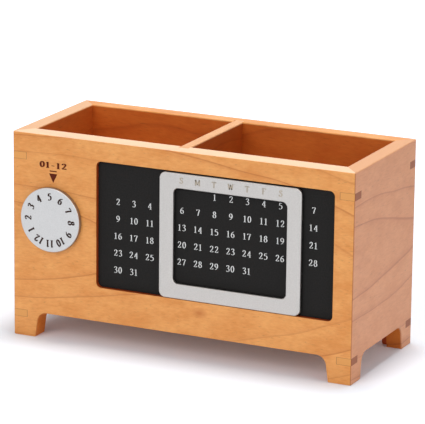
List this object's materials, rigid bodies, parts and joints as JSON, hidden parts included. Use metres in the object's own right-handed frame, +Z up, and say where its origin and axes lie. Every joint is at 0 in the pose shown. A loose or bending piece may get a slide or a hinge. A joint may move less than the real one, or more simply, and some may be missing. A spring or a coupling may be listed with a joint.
{
  "type": "desk calendar organiser",
  "caption": "Wooden desk organiser: open pen compartments, perpetual calendar with sliding weekday frame and turning month dial, drawer in one side.",
  "frame": {"origin": "bottom centre of the box around the whole object, on the surface it stands on", "axes": "+X to the right as seen from the calendar side, +Y to the back, +Z up"},
  "size_m": [0.18, 0.0788, 0.103],
  "materials": {
    "box_wood": "honey-coloured hardwood, satin lacquer, species not known",
    "key_wood": "end grain hardwood keys, sanded flush and lacquered",
    "inner_wood": "sanded, thinly lacquered",
    "black_steel": "matt black coated steel sheet with printed numbers",
    "satin_metal": "fine satin, engraved",
    "magnet_rubber": "flexible magnet strip",
    "plain_steel": "zinc plated"
  },
  "bodies": {
    "box": {"front_panel": "box_wood", "back_panel": "box_wood", "left_side_panel": "box_wood", "right_side_panel": "box_wood", "key_front_left_top": "key_wood", "key_front_left_bottom": "key_wood", "key_front_right_top": "key_wood", "key_front_right_bottom": "key_wood", "key_back_left_top": "key_wood", "key_back_left_bottom": "key_wood", "key_back_right_top": "key_wood", "key_back_right_bottom": "key_wood", "base_board": "inner_wood", "pen_floor": "inner_wood", "divider": "box_wood", "drawer_guide_front": "inner_wood", "drawer_guide_back": "inner_wood", "calendar_board": "black_steel"},
    "weekday_slider": {"weekday_frame": "satin_metal", "magnet_strip_left": "magnet_rubber", "magnet_strip_right": "magnet_rubber"},
    "month_wheel": {"month_dial": "satin_metal", "dial_spindle": "plain_steel", "dial_washer": "plain_steel", "dial_screw": "plain_steel"},
    "drawer": {"drawer_front": "box_wood", "drawer_side_front": "inner_wood", "drawer_side_back": "inner_wood", "drawer_back": "inner_wood", "drawer_bottom": "inner_wood"}
  },
  "joints": [
    {"name": "weekday_slide", "type": "slide", "parent": "box", "child": "weekday_slider", "axis": [1, 0, 0], "range_m": [-0.0337, 0.0164]},
    {"name": "month_turn", "type": "hinge", "parent": "box", "child": "month_wheel", "pos_m": [-0.0684, -0.0366, 0.0612], "axis": [0, -1, 0], "continuous": true},
    {"name": "drawer_slide", "type": "slide", "parent": "box", "child": "drawer", "axis": [-1, 0, 0], "range_m": [0, 0.06]}
  ]
}
